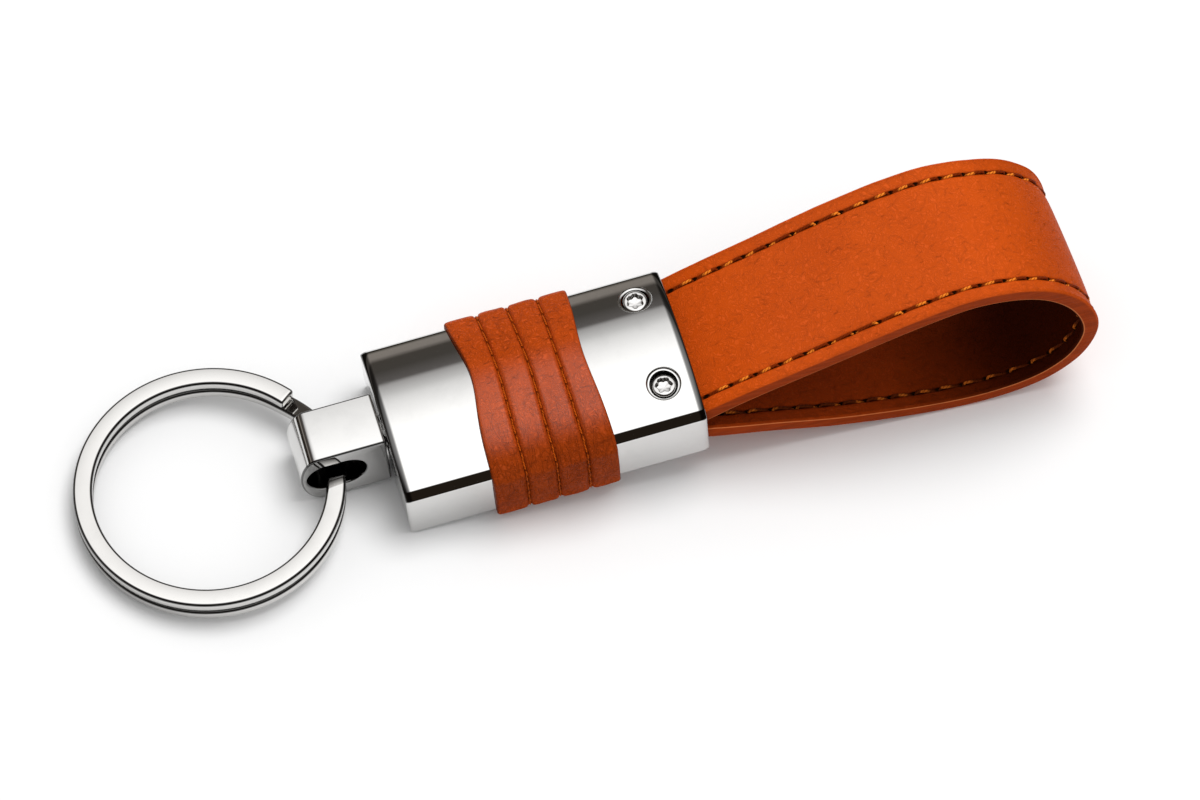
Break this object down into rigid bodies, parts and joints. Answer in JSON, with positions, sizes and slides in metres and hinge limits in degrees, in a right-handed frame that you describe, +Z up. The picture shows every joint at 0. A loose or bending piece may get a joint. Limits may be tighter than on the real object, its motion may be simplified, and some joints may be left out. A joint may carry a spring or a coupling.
{
  "type": "leather keychain",
  "caption": "Leather loop clamped in an arched metal housing, with a stitched leather band, a swivelling shackle and a split ring.",
  "frame": {"origin": "on the table, under the middle of the keychain's bounding box", "axes": "+X from the split ring to the leather loop, level with the table; +Y across the strap, away from the picture's near side; +Z up from the table"},
  "size_m": [0.12, 0.0312, 0.024],
  "materials": {
    "bright_metal": "mirror-polished plating",
    "ring_metal": "bright plated spring steel",
    "screw_metal": "plated socket screw",
    "plain_metal": "plain steel",
    "loop_leather": "fine-grained burnt-orange leather",
    "lining_leather": "smooth lining leather",
    "band_leather": "creased, coarser-grained burnt-orange leather",
    "filler_board": "leather board",
    "thread": "waxed rust-coloured thread"
  },
  "bodies": {
    "housing_body": {"housing": "bright_metal", "clamp_screw_far": "screw_metal", "clamp_screw_near": "screw_metal", "strap_outer_ply": "loop_leather", "strap_lining": "lining_leather", "strap_filler": "filler_board", "stitch_outer_far": "thread", "stitch_outer_near": "thread", "stitch_inner_far": "thread", "stitch_inner_near": "thread", "leather_band": "band_leather", "band_thread_1": "thread", "band_thread_2": "thread", "band_thread_3": "thread", "thrust_washer": "plain_metal"},
    "shackle_body": {"shackle": "bright_metal", "swivel_pin": "plain_metal", "swivel_collar": "bright_metal"},
    "ring_body": {"split_ring": "ring_metal"}
  },
  "joints": [
    {"name": "shackle_swivel", "type": "hinge", "parent": "housing_body", "child": "shackle_body", "pos_m": [-0.02344, 0.00088, 0.00548], "axis": [0.9917, 0, 0.1284], "continuous": true},
    {"name": "ring_tilt", "type": "hinge", "parent": "shackle_body", "child": "ring_body", "pos_m": [-0.03003, 0.00088, 0.00498], "axis": [0, 1, 0], "range_deg": [-85, 80]}
  ]
}
